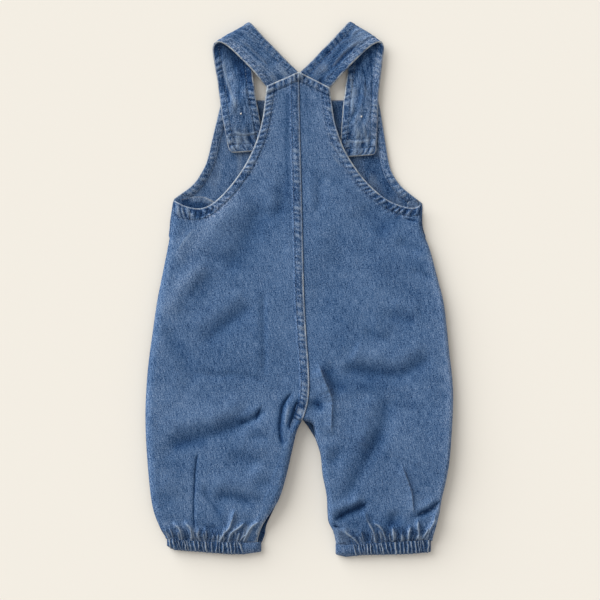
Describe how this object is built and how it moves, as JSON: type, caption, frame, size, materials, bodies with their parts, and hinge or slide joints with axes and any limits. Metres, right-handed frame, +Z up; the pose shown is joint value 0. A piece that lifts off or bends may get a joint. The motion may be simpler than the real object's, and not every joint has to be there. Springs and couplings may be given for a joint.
{
  "type": "kids dungarees laid flat",
  "caption": "Baby's denim dungarees laid flat face down, straps folded over onto the bib, felled centre-back seam and gathered elastic hems.",
  "frame": {"origin": "middle of the laid garment's outline, on the surface it lies on", "axes": "+Y to the shoulder straps, +X to the garment's right side as it lies face down, +Z up, away from the surface"},
  "size_m": [0.278, 0.4819, 0.0078],
  "materials": {
    "denim_outer": "washed mid-blue denim, matte, slubby, pale at worn edges",
    "denim_facing": "inner side of washed denim, matte, puckered along its stitching",
    "denim_strap": "doubled washed denim, matte, topstitched along both edges",
    "denim_casing": "gathered washed denim over elastic, matte, pale on the ridges",
    "button_resin": "semi-matt resin"
  },
  "bodies": {
    "root": {"back_left": "denim_outer", "back_right": "denim_outer", "front_left": "denim_outer", "front_right": "denim_outer", "facing_left": "denim_facing", "facing_right": "denim_facing", "underarm_left": "denim_facing", "underarm_right": "denim_facing", "strap_left": "denim_strap", "strap_right": "denim_strap", "cuff_left": "denim_casing", "cuff_right": "denim_casing", "button_left": "button_resin", "button_right": "button_resin"}
  },
  "joints": []
}
